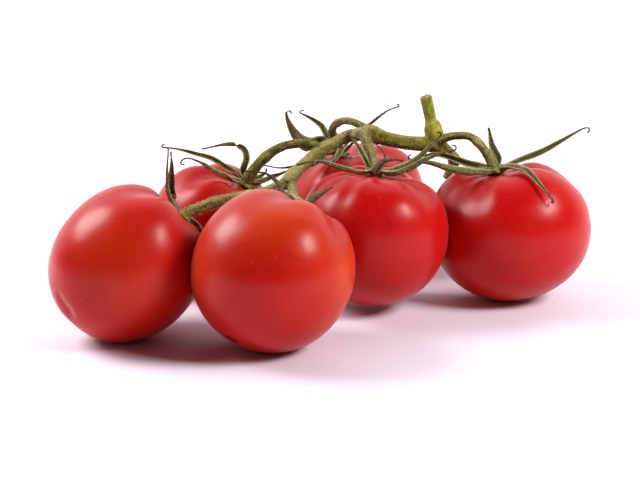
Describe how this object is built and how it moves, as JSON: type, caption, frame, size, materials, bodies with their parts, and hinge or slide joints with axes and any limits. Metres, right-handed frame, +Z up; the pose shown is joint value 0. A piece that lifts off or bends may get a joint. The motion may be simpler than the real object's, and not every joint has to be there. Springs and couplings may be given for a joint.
{
  "type": "truss of tomatoes",
  "caption": "Bunch of ripe round tomatoes still joined by their cut green stem, each with a leafy green star, lying on a surface as picked.",
  "frame": {"origin": "on the surface that the truss rests on, under the middle of its bounding box", "axes": "+X to the right along the front row of fruits, +Y away from them towards the back fruit, +Z up"},
  "size_m": [0.2449, 0.2098, 0.0951],
  "materials": {
    "tomato_skin": "waxy gloss",
    "green_stem": "matt, finely hairy",
    "sepal_leaf": "matt, dry"
  },
  "bodies": {
    "root": {"bare_stalk": "green_stem", "main_stem": "green_stem", "sepal_back_centre_1": "sepal_leaf", "sepal_back_centre_2": "sepal_leaf", "sepal_back_centre_3": "sepal_leaf", "sepal_back_centre_4": "sepal_leaf", "sepal_back_centre_5": "sepal_leaf", "sepal_back_centre_6": "sepal_leaf", "sepal_back_left_1": "sepal_leaf", "sepal_back_left_2": "sepal_leaf", "sepal_back_left_3": "sepal_leaf", "sepal_back_left_4": "sepal_leaf", "sepal_back_left_5": "sepal_leaf", "sepal_front_centre_1": "sepal_leaf", "sepal_front_centre_2": "sepal_leaf", "sepal_front_centre_3": "sepal_leaf", "sepal_front_centre_4": "sepal_leaf", "sepal_front_centre_5": "sepal_leaf", "sepal_front_left_1": "sepal_leaf", "sepal_front_left_2": "sepal_leaf", "sepal_front_left_3": "sepal_leaf", "sepal_front_left_4": "sepal_leaf", "sepal_front_left_5": "sepal_leaf", "sepal_middle_1": "sepal_leaf", "sepal_middle_2": "sepal_leaf", "sepal_middle_3": "sepal_leaf", "sepal_middle_4": "sepal_leaf", "sepal_middle_5": "sepal_leaf", "sepal_right_1": "sepal_leaf", "sepal_right_2": "sepal_leaf", "sepal_right_3": "sepal_leaf", "sepal_right_4": "sepal_leaf", "sepal_right_5": "sepal_leaf", "stalk_back_centre": "green_stem", "stalk_back_left": "green_stem", "stalk_front_centre": "green_stem", "stalk_front_left": "green_stem", "stalk_middle": "green_stem", "stalk_right": "green_stem", "tomato_back_centre": "tomato_skin", "tomato_back_left": "tomato_skin", "tomato_front_centre": "tomato_skin", "tomato_front_left": "tomato_skin", "tomato_middle": "tomato_skin", "tomato_right": "tomato_skin"}
  },
  "joints": []
}
